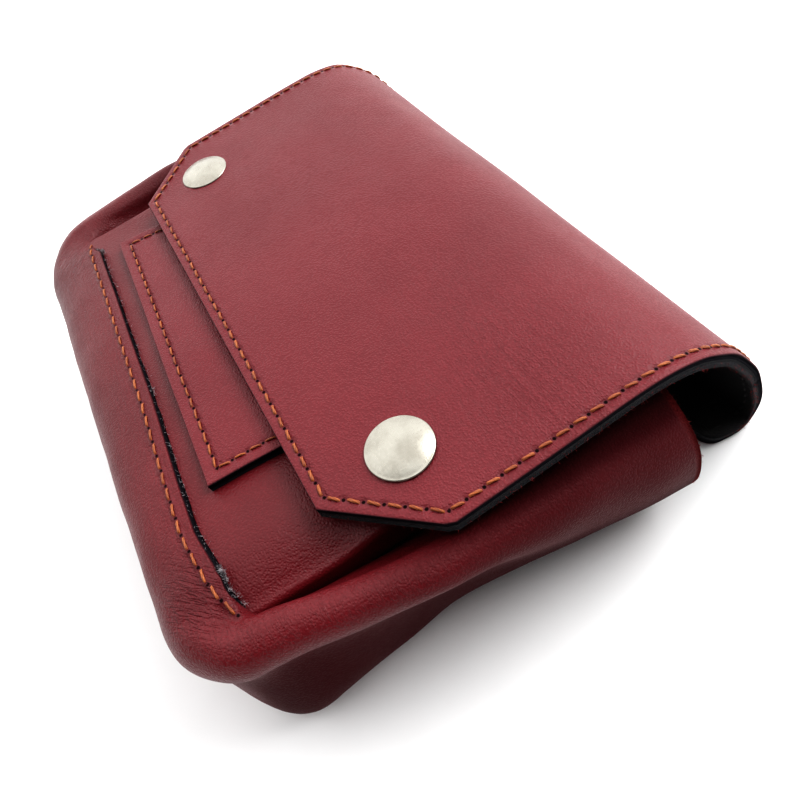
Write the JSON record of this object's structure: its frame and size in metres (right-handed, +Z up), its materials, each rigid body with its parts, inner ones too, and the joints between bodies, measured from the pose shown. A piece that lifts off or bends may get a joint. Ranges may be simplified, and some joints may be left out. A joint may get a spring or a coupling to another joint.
{
  "type": "leather flap case",
  "caption": "Soft leather case with a wrap-over flap closed by two press studs, a stitched slip pocket and rolled side rims around an open mouth.",
  "frame": {"origin": "middle of the footprint, on the face the case rests on", "axes": "+X along the width, -Y towards the closed bottom end and +Y towards the spine, +Z up out of the flap"},
  "size_m": [0.184, 0.1447, 0.0543],
  "materials": {
    "body_leather": "soft, fine-grained, semi-gloss burgundy",
    "flap_leather": "smooth, fine-grained, semi-gloss burgundy",
    "lining_suede": "matte black, napped",
    "thread": "waxed orange-brown thread",
    "cap_nickel": "satin aged nickel plate",
    "stud_nickel": "satin nickel plate",
    "spring_wire": "bright spring wire"
  },
  "bodies": {
    "pouch": {"back_panel": "body_leather", "bottom_strip": "body_leather", "gusset_left": "body_leather", "gusset_right": "body_leather", "front_panel": "body_leather", "slip_pocket": "body_leather", "flap_tail": "flap_leather", "tail_lining": "lining_suede", "bottom_seam_thread": "thread", "pocket_thread": "thread", "base_seam_thread": "thread", "tail_seam_thread": "thread", "gusset_seam_thread_left": "thread", "gusset_seam_thread_right": "thread", "stud_left": "stud_nickel", "stud_right": "stud_nickel", "stud_post_left": "stud_nickel", "stud_post_right": "stud_nickel"},
    "spine": {"spine_leather": "flap_leather", "spine_lining": "lining_suede", "spine_thread": "thread"},
    "flap": {"flap_leather": "flap_leather", "flap_lining": "lining_suede", "flap_thread": "thread", "snap_cap_left": "cap_nickel", "snap_cap_right": "cap_nickel", "snap_socket_left": "stud_nickel", "snap_socket_right": "stud_nickel", "snap_spring_left": "spring_wire", "snap_spring_right": "spring_wire"}
  },
  "joints": [
    {"name": "spine_fold", "type": "hinge", "parent": "pouch", "child": "spine", "pos_m": [0, 0.07022, 0.00362], "axis": [-1, 0, 0], "range_deg": [0, 90]},
    {"name": "flap_fold", "type": "hinge", "parent": "spine", "child": "flap", "pos_m": [0, 0.06043, 0.03954], "axis": [-1, 0, 0], "range_deg": [0, 85]}
  ]
}
